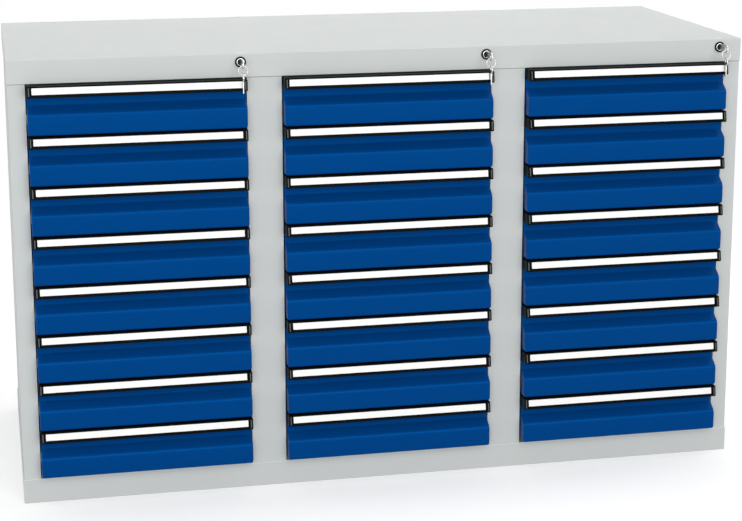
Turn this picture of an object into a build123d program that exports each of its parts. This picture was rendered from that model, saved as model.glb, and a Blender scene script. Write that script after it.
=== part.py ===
from build123d import *
import math
import os

# Free-standing drawer cabinet with three columns of drawers.
# Frame: +Z up, front towards -Y, origin on the floor at the centre of the carcase footprint.
# All sizes are in millimetres.

# Carcase
WIDTH = 1500.0
DEPTH = 600.0
HEIGHT = 900.0
COLUMNS = ("a", "b", "c")
ROWS = 8
SHEET = 1.5            # thickness of the carcase sheet
SEAT = 0.2             # gap between two pieces that are welded, screwed or clipped together
EDGE_R = 2.0           # outer radius of the folded hood and plinth edges
HOOD_DROP = 47.0       # height of the flanges that the top cover folds down
PLINTH_H = 50.0
FOOT_W = 30.0          # width of the plinth flange that lies on the floor
END_STILE = 35.0
MID_STILE = 70.0

# Drawer fronts
TOP_GAP = 1.5          # between the hood flange and the top drawer
BOTTOM_GAP = 5.5       # room left over under the last drawer
FRONT_GAP = 2.5        # between two drawer fronts
SIDE_GAP = 2.0         # between a front and the stile beside it
FRONT_SHEET = 1.2
FRONT_PROUD = 24.0     # how far the flat of a front stands out of the carcase front
SLANT_H = 15.0         # height of the slope from the flat back to the neck
NECK_H = 19.0          # height of the set-back neck under the handle
BEND_R = 10.0
LOWER_EDGE_R = 4.0
CORNER_R = 4.0

# Handle strip with its label
STRIP_H = 22.0
STRIP_TOP_PROUD = 26.0
STRIP_FOOT_PROUD = 30.0
STRIP_WALL = 1.6
STRIP_WEB = 2.6        # thickness of the front web that carries the label
STRIP_BACK_H = 16.0    # height of the flange screwed to the drawer front
STRIP_EDGE_R = 1.8
LIP_H = 3.0            # lip above the label
LABEL_H = 13.0
LABEL_T = 0.5
LABEL_SPARE = 2.0      # length that the label is short of its recess at each end
RECESS_D = 0.9
CAP_W = 8.0
CAP_PROUD = 0.4        # how far an end cap stands out of the strip
CAP_EDGE_R = 2.0

# Drawer trays and runners
TRAY_SHEET = 1.0
TRAY_SIDE_ROOM = 16.0  # from the tray to the carcase wall
TRAY_LIFT = 6.0        # from the lower edge of the front to the tray floor
TRAY_DROP = 29.0       # from the upper edge of the front to the tray rim
TRAY_BACK_ROOM = 45.0  # from the tray to the back panel
RUN_GAP = 0.3
RAIL_LIFT = 8.0        # from the tray floor to the rail
RAIL_H = 12.0
RAIL_STOP_H = 4.0      # extra height of the block at the rail's rear end
RAIL_STOP_L = 15.0
RUNNER_FLANGE = 1.5
RUNNER_ROOM = 3.0      # between the runner flanges and the tray
RUNNER_HOLD = 73.3     # from the runner's front end to the stop that ends the travel
RUNNER_TAB = 5.0       # length of the stop tab pressed down from the runner roof
BAR_ROOM = 1.0         # between a locking bar and what passes it

# Locks
LOCK_DROP = 17.0       # from the top of the cabinet to the lock axis
ROSETTE_D = 22.0
ROSETTE_T = 3.0
ROSETTE_R = 1.2
BARREL_D = 16.0
BARREL_L = 25.0
FIT = 0.1              # radial gap of clearance holes
PLUG_D = 12.0
PLUG_FIT = 0.05        # radial running clearance of the plug
NUT_AF = 20.0
NUT_T = 5.0
NUT_ROOM = 2.0         # between the nut and the carcase wall
TAIL = 7.0             # side of the plug's square tail
CAM_T = 2.5
CAM_HUB_D = 14.0
CAM_ARM_W = 9.0
CAM_R = 9.2            # from the lock axis to the cam pin
CAM_START = 45.0       # degrees that the pin lies below the horizontal when unlocked
CAM_PIN_D = 5.0
CAM_PIN_OVER = 2.0     # length of pin behind the flag that it lifts
CAM_SCREW_D = 4.0
CAM_SCREW_L = 8.0
CAM_SCREW_HEAD_D = 8.0
CAM_SCREW_HEAD_T = 3.0

# Locking bars
BAR_T = 3.0
BAR_W = 16.0
BAR_WALL_GAP = 0.5
HOOK_T = 2.5
HOOK_H = 12.0
HOOK_ROOM = 5.0        # between a hook and the tray, and above the rail that passes under it
HOOK_SET_BACK = 4.0    # from the front edge of the bar to its hooks
BAR_FOOT = 4.0         # bar below its lowest hook
FLAG_ROOM = 1.5        # between the cam screw and the flag behind it
FLAG_EDGE = 3.0        # metal round the slot in the flag
SLOT_ROOM = 0.4        # above and below the cam pin in its slot
SLOT_SIDE = 0.8
LUG_T = 3.0
LUG_H = 10.0
LUG_GAP = 3.5          # between a hook and the lug behind it
LUG_RISE = 2.0         # between the unlocked hook and the lug that passes over it
LUG_ROOM = 3.5         # between the lug and the bar
LUG_FOOT = 17.0
LUG_FOOT_T = 1.5
GUIDE_T = 1.5
GUIDE_H = 12.0
GUIDE_RISE = 7.0       # from a lug to the guide above it
GUIDE_EVERY = 2        # rows from one guide to the next

# Keys
KEY_T = 2.0
KEY_BLADE_H = 8.0
KEY_DEPTH = 18.0       # length of blade inside the plug
KEY_FIT = 0.25
KEY_CLEAR = 2.5        # between the hanging key and the handle strip behind it
BOW_R = 8.5
BOW_HOLE_D = 9.0
BOW_NECK = 7.0         # from the rosette to the bow
RING_R = 9.2
RING_WIRE = 1.6
RING_PLAY = 0.46       # between the ring and the rim that it hangs on
SPARE_HOLE_D = 7.0
SPARE_RIM = 2.5
SPARE_PLAY = 0.3
SPARE_BLADE_L = 22.0
TOOTH_W = 2.0
TOOTH_D = 1.6
TOOTH_COUNT = 4

# Places worked out from the sizes above
FRONT_Y = -DEPTH / 2
BACK_Y = DEPTH / 2
INNER_FRONT = FRONT_Y + SHEET + SEAT
INNER_BACK = BACK_Y - SHEET - SEAT
UPRIGHT_BACK = INNER_BACK - SHEET - SEAT
FLOOR_Z = SHEET + SEAT
CEILING_Z = HEIGHT - SHEET - SEAT
HOOD_Z = HEIGHT - HOOD_DROP
OPEN_W = (WIDTH - 2 * END_STILE - (len(COLUMNS) - 1) * MID_STILE) / len(COLUMNS)
COLUMN_PITCH = OPEN_W + MID_STILE
OPEN_HALF = OPEN_W / 2
ROW_PITCH = (HOOD_Z - PLINTH_H - TOP_GAP - BOTTOM_GAP) / ROWS
FRONT_H = ROW_PITCH - FRONT_GAP
FRONT_W = OPEN_W - 2 * SIDE_GAP
FLAT_H = FRONT_H - STRIP_H - NECK_H - SLANT_H
TRAY_HALF = OPEN_HALF - TRAY_SIDE_ROOM
TRAY_FRONT = FRONT_Y + FRONT_SHEET + SEAT
TRAY_BACK = UPRIGHT_BACK - TRAY_BACK_ROOM
TRAY_TOP = FRONT_H - TRAY_DROP
RAIL_Z = TRAY_LIFT + RAIL_LIFT
STRIP_LEAN = math.atan2(STRIP_FOOT_PROUD - STRIP_TOP_PROUD, STRIP_H)
STRIP_LENGTH = STRIP_H / math.cos(STRIP_LEAN)
BAR_OUT = OPEN_HALF - BAR_WALL_GAP
BAR_IN = BAR_OUT - BAR_T
RAIL_OUT = BAR_IN - BAR_ROOM
LOCK_X = OPEN_HALF - max(NUT_AF / 2 + NUT_ROOM, OPEN_HALF - BAR_IN + BAR_ROOM + CAM_HUB_D / 2)
LOCK_Z = HEIGHT - LOCK_DROP
ROSETTE_BACK = FRONT_Y - SEAT
ROSETTE_FRONT = ROSETTE_BACK - ROSETTE_T
BARREL_END = ROSETTE_BACK + BARREL_L
CAM_FRONT = BARREL_END + 2 * SEAT
CAM_BACK = CAM_FRONT + CAM_T
CAM_START_RAD = math.radians(CAM_START)
PIN_X = LOCK_X - CAM_R * math.cos(CAM_START_RAD)
PIN_Z = LOCK_Z - CAM_R * math.sin(CAM_START_RAD)
SLOT_LEFT = LOCK_X - CAM_R - CAM_PIN_D / 2 - SLOT_SIDE
SLOT_RIGHT = PIN_X + CAM_PIN_D / 2 + SLOT_SIDE
SLOT_HALF = CAM_PIN_D / 2 + SLOT_ROOM
SCREW_FRONT = CAM_BACK + SEAT
SCREW_BACK = SCREW_FRONT + CAM_SCREW_HEAD_T
FLAG_FRONT = SCREW_BACK + FLAG_ROOM
FLAG_BACK = FLAG_FRONT + HOOK_T
FLAG_TOP = PIN_Z + SLOT_HALF + FLAG_EDGE
HOOK_BACK = FLAG_FRONT
HOOK_FRONT = HOOK_BACK - HOOK_T
HOOK_TIP = TRAY_HALF + HOOK_ROOM
HOOK_Z = RAIL_Z + RAIL_H + HOOK_ROOM
BAR_FRONT = HOOK_FRONT - HOOK_SET_BACK
BAR_REAR = BAR_FRONT + BAR_W
LUG_FRONT = HOOK_BACK + LUG_GAP
LUG_TIP = BAR_IN - LUG_ROOM
LUG_Z = HOOK_Z + HOOK_H + LUG_RISE
GUIDE_Z = LUG_Z + LUG_H + GUIDE_RISE
RUNNER_FRONT = BAR_REAR + BAR_ROOM
RUNNER_TIP = TRAY_HALF + RUNNER_ROOM
KEY_Y = FRONT_Y - STRIP_FOOT_PROUD - CAP_PROUD - KEY_BLADE_H / 2 - KEY_CLEAR
RIM_DROP = (BOW_R + BOW_HOLE_D / 2) / 2
RIM_HALF_DIAGONAL = math.hypot(KEY_T / 2, (BOW_R - BOW_HOLE_D / 2) / 2)
RING_DROP = RING_R - RING_WIRE / 2 - RIM_HALF_DIAGONAL - RING_PLAY
RING_Z = LOCK_Z - RIM_DROP - RING_DROP
RING_FOOT_Z = RING_Z - RING_R
SPARE_HOLE_Z = RING_FOOT_Z - SPARE_HOLE_D / 2 + RING_WIRE / 2 + SPARE_PLAY
SPARE_BOW_Z = SPARE_HOLE_Z + SPARE_HOLE_D / 2 + SPARE_RIM - BOW_R


def column_x(column):
    """X of the middle of a drawer column."""
    return (COLUMNS.index(column) - (len(COLUMNS) - 1) / 2) * COLUMN_PITCH


def row_z(row):
    """Height of the lower edge of a drawer front, row 1 at the top."""
    return HOOD_Z - TOP_GAP - FRONT_H - (row - 1) * ROW_PITCH


def block(x, y, z):
    """Box between the two values of each of its three pairs."""
    size = [abs(pair[1] - pair[0]) for pair in (x, y, z)]
    middle = [(pair[0] + pair[1]) / 2 for pair in (x, y, z)]
    return Pos(*middle) * Box(*size)


def rod(x, z, y, diameter):
    """Cylinder along Y between the two values of y."""
    return Pos(x, (y[0] + y[1]) / 2, z) * Rot(90, 0, 0) * Cylinder(diameter / 2, abs(y[1] - y[0]))


def side_plane(x):
    """Plane across the width whose axes are the distance out of the carcase front and the height."""
    return Plane(origin=(x, FRONT_Y, 0), x_dir=(0, -1, 0), z_dir=(-1, 0, 0))


def bar_of(section, x):
    """Extrude a side section between the two values of x."""
    return extrude(side_plane(max(x)) * section, amount=abs(x[1] - x[0]))


def outline(points, rounded=()):
    """Face with straight sides through the points, with some corners rounded: pairs of index and radius."""
    face = make_face(Polyline(*points, close=True))
    for index, radius in rounded:
        corner = face.vertices().sort_by_distance((points[index][0], points[index][1], 0))[0]
        face = fillet(corner, radius)
    return face


def patch(across, up):
    """Rectangular face between the two values of each pair."""
    middle = Pos((across[0] + across[1]) / 2, (up[0] + up[1]) / 2)
    return middle * Rectangle(abs(across[1] - across[0]), abs(up[1] - up[0]))


# Carcase pieces

def top_cover():
    cover = block((-WIDTH / 2, WIDTH / 2), (FRONT_Y, BACK_Y), (HOOD_Z, HEIGHT))
    folded = cover.edges().filter_by(lambda edge: edge.center().Z > HOOD_Z + EDGE_R)
    cover = fillet(folded, EDGE_R)
    inside_x = WIDTH / 2 - SHEET
    cover -= block((-inside_x, inside_x), (FRONT_Y + SHEET, BACK_Y - SHEET), (HOOD_Z - SHEET, HEIGHT - SHEET))
    for column in COLUMNS:
        x = column_x(column) + LOCK_X
        cover -= rod(x, LOCK_Z, (FRONT_Y - SHEET, FRONT_Y + 2 * SHEET), BARREL_D + 2 * FIT)
    return cover


def base_plinth():
    plinth = block((-WIDTH / 2, WIDTH / 2), (FRONT_Y, BACK_Y), (0, PLINTH_H))
    plinth = fillet(plinth.edges().filter_by(Axis.Z), EDGE_R)
    inside_x = WIDTH / 2 - SHEET
    window_x = WIDTH / 2 - FOOT_W
    plinth -= block((-inside_x, inside_x), (FRONT_Y + SHEET, BACK_Y - SHEET), (SHEET, PLINTH_H + SHEET))
    plinth -= block((-window_x, window_x), (FRONT_Y + FOOT_W, BACK_Y - FOOT_W), (-SHEET, 2 * SHEET))
    return plinth


def upright(x):
    """Folded channel with a stile in front and two walls running back, between the two values of x."""
    channel = block(x, (INNER_FRONT, UPRIGHT_BACK), (FLOOR_Z, CEILING_Z))
    inside_x = (min(x) + SHEET, max(x) - SHEET)
    inside_y = (INNER_FRONT + SHEET, UPRIGHT_BACK + SHEET)
    return channel - block(inside_x, inside_y, (FLOOR_Z - SHEET, CEILING_Z + SHEET))


def side_panel(side):
    return upright((side * (WIDTH / 2 - SHEET - SEAT), side * (WIDTH / 2 - END_STILE)))


def partition(left_column):
    x = column_x(left_column) + OPEN_HALF
    return upright((x, x + MID_STILE))


def back_panel():
    half = WIDTH / 2 - SHEET - SEAT
    return block((-half, half), (INNER_BACK - SHEET, INNER_BACK), (FLOOR_Z, CEILING_Z))


def bottom_panels():
    """One inverted pan in each column, standing on the plinth's foot flange."""
    half = OPEN_HALF - SEAT
    pan = block((-half, half), (INNER_FRONT, UPRIGHT_BACK), (FLOOR_Z, PLINTH_H))
    inside_y = (INNER_FRONT + SHEET, UPRIGHT_BACK - SHEET)
    pan -= block((SHEET - half, half - SHEET), inside_y, (FLOOR_Z - SHEET, PLINTH_H - SHEET))
    return [Pos(column_x(column), 0, 0) * pan for column in COLUMNS]


def runner(side):
    """Channel on a carcase wall, with a rear stop and a tab that ends the drawer's travel."""
    wall = side * (OPEN_HALF - SEAT)
    web_in = side * (RAIL_OUT + RUN_GAP)
    tip = side * RUNNER_TIP
    rear = TRAY_BACK + RUN_GAP + RUNNER_FLANGE
    low = RAIL_Z - RUN_GAP
    high = RAIL_Z + RAIL_H + RAIL_STOP_H + RUN_GAP
    channel = block((wall, tip), (RUNNER_FRONT, rear), (low - RUNNER_FLANGE, high + RUNNER_FLANGE))
    channel -= block((web_in, tip - side * SHEET), (RUNNER_FRONT - SHEET, TRAY_BACK + RUN_GAP), (low, high))
    tab_y = (RUNNER_FRONT + RUNNER_HOLD - RUNNER_TAB, RUNNER_FRONT + RUNNER_HOLD)
    return channel + block((wall, tip), tab_y, (RAIL_Z + RAIL_H + RUN_GAP, high + RUNNER_FLANGE))


def runners(column):
    pair = [runner(-1), runner(1)]
    return [Pos(column_x(column), 0, row_z(row + 1)) * one for row in range(ROWS) for one in pair]


# Drawer pieces, at X 0 with the lower edge of the front at Z 0

def tray():
    box = block((-TRAY_HALF, TRAY_HALF), (TRAY_FRONT, TRAY_BACK), (TRAY_LIFT, TRAY_TOP))
    inside = TRAY_HALF - TRAY_SHEET
    inside_y = (TRAY_FRONT + TRAY_SHEET, TRAY_BACK - TRAY_SHEET)
    return box - block((-inside, inside), inside_y, (TRAY_LIFT + TRAY_SHEET, TRAY_TOP + TRAY_SHEET))


def front_view(half, low, radius):
    """Upright slab with the front's outline seen from ahead, rounded at its two lower corners."""
    high = 2 * FRONT_H
    points = [(-half, low), (half, low), (half, high), (-half, high)]
    face = outline(points, [(0, radius), (1, radius)])
    return extrude(Plane.XZ * face, amount=DEPTH, both=True)


def front_panel():
    """Folded sheet: flat, slope, neck and the upright behind the handle, closed by a cheek at each end."""
    behind = -2 * FRONT_PROUD
    neck_z = FLAT_H + SLANT_H
    points = [
        (behind, 0),
        (FRONT_PROUD, 0),
        (FRONT_PROUD, FLAT_H),
        (0, neck_z),
        (0, FRONT_H),
        (behind, FRONT_H),
    ]
    section = outline(points, [(1, LOWER_EDGE_R), (2, BEND_R), (3, BEND_R)])
    hollow = offset(section, amount=-FRONT_SHEET)
    kept = patch((-FRONT_SHEET, 2 * FRONT_PROUD), (-FRONT_H, 2 * FRONT_H))
    half = FRONT_W / 2
    inside = half - FRONT_SHEET
    skin = bar_of(section & kept, (-half, half)) & front_view(half, 0, CORNER_R)
    core = bar_of(hollow, (-inside, inside)) & front_view(inside, FRONT_SHEET, CORNER_R - FRONT_SHEET)
    return skin - core


def strip_point(along, inward):
    """Point on the tilted strip face, measured down from its upper edge and inward from the face."""
    out = STRIP_TOP_PROUD + along * math.sin(STRIP_LEAN) - inward * math.cos(STRIP_LEAN)
    return (out, FRONT_H - along * math.cos(STRIP_LEAN) - inward * math.sin(STRIP_LEAN))


def strip_patch(along, inward):
    """Four-sided patch of the strip section between two distances along and two inward."""
    corners = [(along[0], inward[0]), (along[1], inward[0]), (along[1], inward[1]), (along[0], inward[1])]
    return outline([strip_point(*corner) for corner in corners])


def handle_strip():
    """Channel open below as a finger grip, with a recess for the label in its front web."""
    under_roof = (STRIP_WALL - STRIP_WEB * math.sin(STRIP_LEAN)) / math.cos(STRIP_LEAN)
    points = [
        (SEAT, FRONT_H),
        strip_point(0, 0),
        strip_point(STRIP_LENGTH, 0),
        strip_point(STRIP_LENGTH, STRIP_WEB),
        strip_point(under_roof, STRIP_WEB),
        (SEAT + STRIP_WALL, FRONT_H - STRIP_WALL),
        (SEAT + STRIP_WALL, FRONT_H - STRIP_BACK_H),
        (SEAT, FRONT_H - STRIP_BACK_H),
    ]
    section = outline(points, [(1, STRIP_EDGE_R)])
    section -= strip_patch((LIP_H - SEAT, LIP_H + LABEL_H + SEAT), (-RECESS_D, RECESS_D))
    half = FRONT_W / 2 - CAP_W - SEAT
    return bar_of(section, (-half, half))


def end_cap(side):
    top = strip_point(0, -CAP_PROUD)
    foot = strip_point(STRIP_LENGTH, -CAP_PROUD)
    points = [(SEAT, FRONT_H), (top[0], FRONT_H), (foot[0], FRONT_H - STRIP_H), (SEAT, FRONT_H - STRIP_H)]
    section = outline(points, [(1, CAP_EDGE_R), (2, CAP_EDGE_R)])
    return bar_of(section, (side * (FRONT_W / 2 - CAP_W), side * FRONT_W / 2))


def label():
    half = FRONT_W / 2 - CAP_W - LABEL_SPARE
    back = RECESS_D - SEAT
    return bar_of(strip_patch((LIP_H, LIP_H + LABEL_H), (back - LABEL_T, back)), (-half, half))


def rail(side):
    """Slide bar on the tray side, and the stop block on its rear end."""
    x = (side * (TRAY_HALF + SEAT), side * RAIL_OUT)
    top = RAIL_Z + RAIL_H
    bar = block(x, (TRAY_FRONT, TRAY_BACK), (RAIL_Z, top))
    stop = block(x, (TRAY_BACK - RAIL_STOP_L, TRAY_BACK), (top + SEAT, top + RAIL_STOP_H))
    return [bar, stop]


def catch_lug():
    """Angle on the right tray side that the locking bar's hook catches."""
    inner = TRAY_HALF + SEAT
    height = (LUG_Z, LUG_Z + LUG_H)
    tab = block((inner, LUG_TIP), (LUG_FRONT, LUG_FRONT + LUG_T), height)
    return tab + block((inner, inner + LUG_FOOT_T), (LUG_FRONT, LUG_FRONT + LUG_FOOT), height)


def drawer_solids():
    strip = [handle_strip(), end_cap(-1), end_cap(1), label()]
    return [tray(), front_panel()] + strip + rail(-1) + rail(1) + [catch_lug()]


# Locking pieces, at X 0 for the middle of the column

def locking_bar():
    """Upright bar with a hook for each drawer and a slotted flag that the cam pin lifts."""
    low = row_z(ROWS) + HOOK_Z - BAR_FOOT
    bar = block((BAR_IN, BAR_OUT), (BAR_FRONT, BAR_REAR), (low, FLAG_TOP))
    for row in range(ROWS):
        z = row_z(row + 1) + HOOK_Z
        bar += block((HOOK_TIP, BAR_OUT), (HOOK_FRONT, HOOK_BACK), (z, z + HOOK_H))
    flag_z = (PIN_Z - SLOT_HALF - FLAG_EDGE, FLAG_TOP)
    bar += block((SLOT_LEFT - FLAG_EDGE, BAR_OUT), (FLAG_FRONT, FLAG_BACK), flag_z)
    slot_z = (PIN_Z - SLOT_HALF, PIN_Z + SLOT_HALF)
    return bar - block((SLOT_LEFT, SLOT_RIGHT), (FLAG_FRONT - HOOK_T, FLAG_BACK + HOOK_T), slot_z)


def bar_guide():
    """Strap that holds the locking bar to the carcase wall, with its lower edge at Z 0."""
    wall = OPEN_HALF - SEAT
    cover = BAR_IN - RUN_GAP
    front = BAR_FRONT - RUN_GAP
    rear = BAR_REAR + RUN_GAP
    strap = block((cover - GUIDE_T, wall), (front - GUIDE_T, rear + GUIDE_T), (0, GUIDE_H))
    return strap - block((cover, wall + GUIDE_T), (front, rear), (-GUIDE_T, GUIDE_H + GUIDE_T))


def bar_guides():
    strap = bar_guide()
    rows = range(1, ROWS + 1, GUIDE_EVERY)
    return [Pos(column_x(column), 0, row_z(row) + GUIDE_Z) * strap for column in COLUMNS for row in rows]


def on_axis(width, height, y):
    """Block centred on the lock axis, between the two values of y."""
    return Pos(LOCK_X, (y[0] + y[1]) / 2, LOCK_Z) * Box(width, y[1] - y[0], height)


def lock_housing():
    rosette = rod(LOCK_X, LOCK_Z, (ROSETTE_FRONT, ROSETTE_BACK), ROSETTE_D)
    rosette = fillet(rosette.edges().sort_by(Axis.Y)[0], ROSETTE_R)
    housing = rosette + rod(LOCK_X, LOCK_Z, (ROSETTE_BACK, BARREL_END), BARREL_D)
    return housing - rod(LOCK_X, LOCK_Z, (ROSETTE_FRONT - SHEET, BARREL_END + SHEET), PLUG_D + 2 * PLUG_FIT)


def lock_nut():
    nut = extrude(Plane.XZ * RegularPolygon(NUT_AF / 2, 6, major_radius=False, rotation=30), amount=-NUT_T)
    nut = Pos(LOCK_X, INNER_FRONT, LOCK_Z) * nut
    return nut - rod(LOCK_X, LOCK_Z, (INNER_FRONT - SHEET, INNER_FRONT + NUT_T + SHEET), BARREL_D + 2 * FIT)


def lock_plug():
    """Turning plug with a keyway in front and a square, tapped tail behind."""
    plug = rod(LOCK_X, LOCK_Z, (ROSETTE_FRONT, CAM_FRONT - SEAT), PLUG_D)
    plug += on_axis(TAIL, TAIL, (CAM_FRONT - 2 * SEAT, CAM_BACK))
    keyway_y = (ROSETTE_FRONT - SHEET, ROSETTE_FRONT + KEY_DEPTH + KEY_FIT)
    plug -= on_axis(KEY_T + 2 * KEY_FIT, KEY_BLADE_H + 2 * KEY_FIT, keyway_y)
    hole_y = (CAM_BACK - CAM_SCREW_L, CAM_BACK + SHEET)
    return plug - rod(LOCK_X, LOCK_Z, hole_y, CAM_SCREW_D + 2 * FIT)


def lock_cam():
    """Cam with its pin on the plug's tail, and the screw that holds it there."""
    cam = rod(LOCK_X, LOCK_Z, (CAM_FRONT, CAM_BACK), CAM_HUB_D)
    arm_end = rod(PIN_X, PIN_Z, (CAM_FRONT, CAM_BACK), CAM_ARM_W)
    arm = Pos((LOCK_X + PIN_X) / 2, (CAM_FRONT + CAM_BACK) / 2, (LOCK_Z + PIN_Z) / 2)
    arm = arm * Rot(0, -CAM_START, 0) * Box(CAM_R, CAM_T, CAM_ARM_W)
    pin = rod(PIN_X, PIN_Z, (CAM_FRONT, FLAG_BACK + CAM_PIN_OVER), CAM_PIN_D)
    cam = cam + arm_end + arm + pin
    cam -= on_axis(TAIL + 2 * FIT, TAIL + 2 * FIT, (CAM_FRONT - SHEET, CAM_BACK + SHEET))
    screw = rod(LOCK_X, LOCK_Z, (SCREW_FRONT, SCREW_BACK), CAM_SCREW_HEAD_D)
    screw += rod(LOCK_X, LOCK_Z, (SCREW_FRONT - CAM_SCREW_L, SCREW_FRONT), CAM_SCREW_D)
    return [cam, screw]


def plate_in_yz(face):
    """Plate of the key's thickness from a face drawn in Y and Z, centred on the lock axis in X."""
    plane = Plane(origin=(LOCK_X, 0, 0), x_dir=(0, 1, 0), z_dir=(1, 0, 0))
    return extrude(plane * face, amount=KEY_T / 2, both=True)


def disc(y, z, radius):
    return Pos(y, z) * Circle(radius)


def key():
    """Key in the plug, with its bow upright so that it is seen edge on from ahead."""
    bow_end = ROSETTE_FRONT - BOW_NECK - BOW_R
    blade = (KEY_Y, ROSETTE_FRONT + KEY_DEPTH)
    half = KEY_BLADE_H / 2
    face = disc(KEY_Y, LOCK_Z, BOW_R) + disc(bow_end, LOCK_Z, BOW_R)
    face += patch((KEY_Y, bow_end), (LOCK_Z - BOW_R, LOCK_Z + BOW_R))
    face += patch(blade, (LOCK_Z - half, LOCK_Z + half))
    return plate_in_yz(face - disc(KEY_Y, LOCK_Z, BOW_HOLE_D / 2))


def key_ring():
    wire = Plane.XZ * Torus(RING_R, RING_WIRE / 2)
    return Pos(LOCK_X, KEY_Y, RING_Z) * wire


def spare_key():
    """Second key, hanging on the ring with its blade down."""
    tip = SPARE_BOW_Z - BOW_R - SPARE_BLADE_L
    half = KEY_BLADE_H / 2
    face = disc(KEY_Y, SPARE_BOW_Z, BOW_R)
    face += patch((KEY_Y - half, KEY_Y + half), (tip, SPARE_BOW_Z))
    for tooth in range(TOOTH_COUNT):
        z = tip + (2 * tooth + 1) * TOOTH_W
        face -= patch((KEY_Y - half - TOOTH_D, KEY_Y - half + TOOTH_D), (z, z + TOOTH_W))
    return plate_in_yz(face - disc(KEY_Y, SPARE_HOLE_Z, SPARE_HOLE_D / 2))


# Every piece under its own name

def all_nodes():
    nodes = {
        "top_cover": [top_cover()],
        "base_plinth": [base_plinth()],
        "bottom_panels": bottom_panels(),
        "left_side_panel": [side_panel(-1)],
        "right_side_panel": [side_panel(1)],
        "left_partition": [partition(COLUMNS[0])],
        "right_partition": [partition(COLUMNS[1])],
        "back_panel": [back_panel()],
        "bar_guides": bar_guides(),
    }
    drawer = drawer_solids()
    in_column = {
        "lock_housing": [lock_housing()],
        "lock_plug": [lock_plug()],
        "lock_cam": lock_cam(),
        "locking_bar": [locking_bar()],
        "key": [key()],
        "key_ring": [key_ring()],
        "spare_key": [spare_key()],
    }
    nut = lock_nut()
    nodes["lock_nuts"] = [Pos(column_x(column), 0, 0) * nut for column in COLUMNS]
    for column in COLUMNS:
        place = Pos(column_x(column), 0, 0)
        nodes["runners_" + column] = runners(column)
        for name, solids in in_column.items():
            nodes[name + "_" + column] = [place * solid for solid in solids]
        for row in range(ROWS):
            cell = Pos(column_x(column), 0, row_z(row + 1))
            nodes["drawer_" + column + str(row + 1)] = [cell * solid for solid in drawer]
    return nodes


os.makedirs("parts", exist_ok=True)
for node, shapes in all_nodes().items():
    pieces = [solid for shape in shapes for solid in shape.solids()]
    export_step(Compound(pieces), "parts/" + node + ".step")
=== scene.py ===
import math
import random

import bmesh
import bpy
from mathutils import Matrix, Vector


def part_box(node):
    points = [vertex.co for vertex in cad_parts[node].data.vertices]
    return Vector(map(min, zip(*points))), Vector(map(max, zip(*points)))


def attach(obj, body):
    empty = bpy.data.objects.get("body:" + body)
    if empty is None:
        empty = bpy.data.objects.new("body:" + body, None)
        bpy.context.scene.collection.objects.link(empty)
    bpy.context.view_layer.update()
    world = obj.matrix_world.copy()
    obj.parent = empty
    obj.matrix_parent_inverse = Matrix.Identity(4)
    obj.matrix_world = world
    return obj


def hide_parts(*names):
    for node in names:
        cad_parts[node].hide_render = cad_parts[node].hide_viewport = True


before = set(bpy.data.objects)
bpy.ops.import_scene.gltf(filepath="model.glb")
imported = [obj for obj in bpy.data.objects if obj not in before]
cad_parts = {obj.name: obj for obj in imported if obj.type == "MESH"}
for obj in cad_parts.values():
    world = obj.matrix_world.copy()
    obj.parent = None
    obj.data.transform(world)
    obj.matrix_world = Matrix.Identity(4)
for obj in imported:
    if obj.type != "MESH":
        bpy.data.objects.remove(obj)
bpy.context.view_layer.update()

# Drawer cabinet: the looks of the carcase, drawers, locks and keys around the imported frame.
# All sizes are in metres, in the frame's own axes: +Z up, front towards -Y.

MM = 0.001
COLUMNS = ("a", "b", "c")
ROWS = range(1, 9)
SEAT = 0.2 * MM           # gap between two pieces that are clipped or fixed together

# Drawer fronts
SHEET = 1.2 * MM
FRONT_PROUD = 24 * MM     # from the carcase front to the flat
FLAT_H = 41 * MM
SLANT_H = 15 * MM
FRONT_H = 97 * MM
OUT_BEND_R = 11 * MM      # bend from the flat to the slope
IN_BEND_R = 6 * MM        # bend from the slope to the neck
LOWER_EDGE_R = 4 * MM
CHEEK_R = 2.2 * MM        # fold between a front's face and its cheeks
CORNER_R = 4 * MM         # lower corners, seen from the front
CORNER_FADE = 20 * MM     # height over which a lower corner fades out
CORNER_SHARES = (0.65, 0.8, 1.0)  # sections through a lower corner past its cheek, in shares of its radius

# Handle strips
STRIP_H = 22 * MM
STRIP_TOP_PROUD = 26 * MM
STRIP_FOOT_PROUD = 30 * MM
STRIP_WALL = 1.6 * MM
STRIP_WEB = 2.6 * MM      # thickness of the leaning front web
STRIP_BACK_H = 16 * MM
STRIP_EDGE_R = 1.8 * MM   # upper front edge
STRIP_FOOT_R = 1.0 * MM
STRIP_INSIDE_R = 1.2 * MM
STRIP_BACK_R = 0.4 * MM
STRIP_END_R = 0.1 * MM
STRIP_LEAN = math.atan2(STRIP_FOOT_PROUD - STRIP_TOP_PROUD, STRIP_H)
STRIP_LENGTH = STRIP_H / math.cos(STRIP_LEAN)
ROOF_GROOVES = 5
ROOF_GROOVE_D = 0.35 * MM
ROOF_GROOVE_W = 1.2 * MM
LIP_H = 3 * MM
LIP_R = 0.25 * MM
RECESS_D = 0.9 * MM
LABEL_H = 13 * MM
LABEL_T = 0.5 * MM
LABEL_SPARE = 2 * MM      # room at each end of a label
LABEL_CORNER_R = 0.7 * MM
LABEL_SLIP = 1.1 * MM     # how far a label may have slid along its recess
LABEL_SEED = 7
CAP_W = 8 * MM
CAP_PROUD = 0.4 * MM
CAP_EDGE_R = 2.4 * MM
CAP_OUTER_R = 1.6 * MM    # end of the cap at the end of the strip
CAP_INNER_R = 0.5 * MM    # end of the cap at the label
CAP_CROWN = 0.5 * MM      # how far the middle of a cap swells over its ends
RIB_W = 2.2 * MM
RIB_PROUD = 0.5 * MM
RIB_END_R = 0.4 * MM
RIB_SHORT = 2.6 * MM      # how far a cap's rib stops short of the strip's edges

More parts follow.
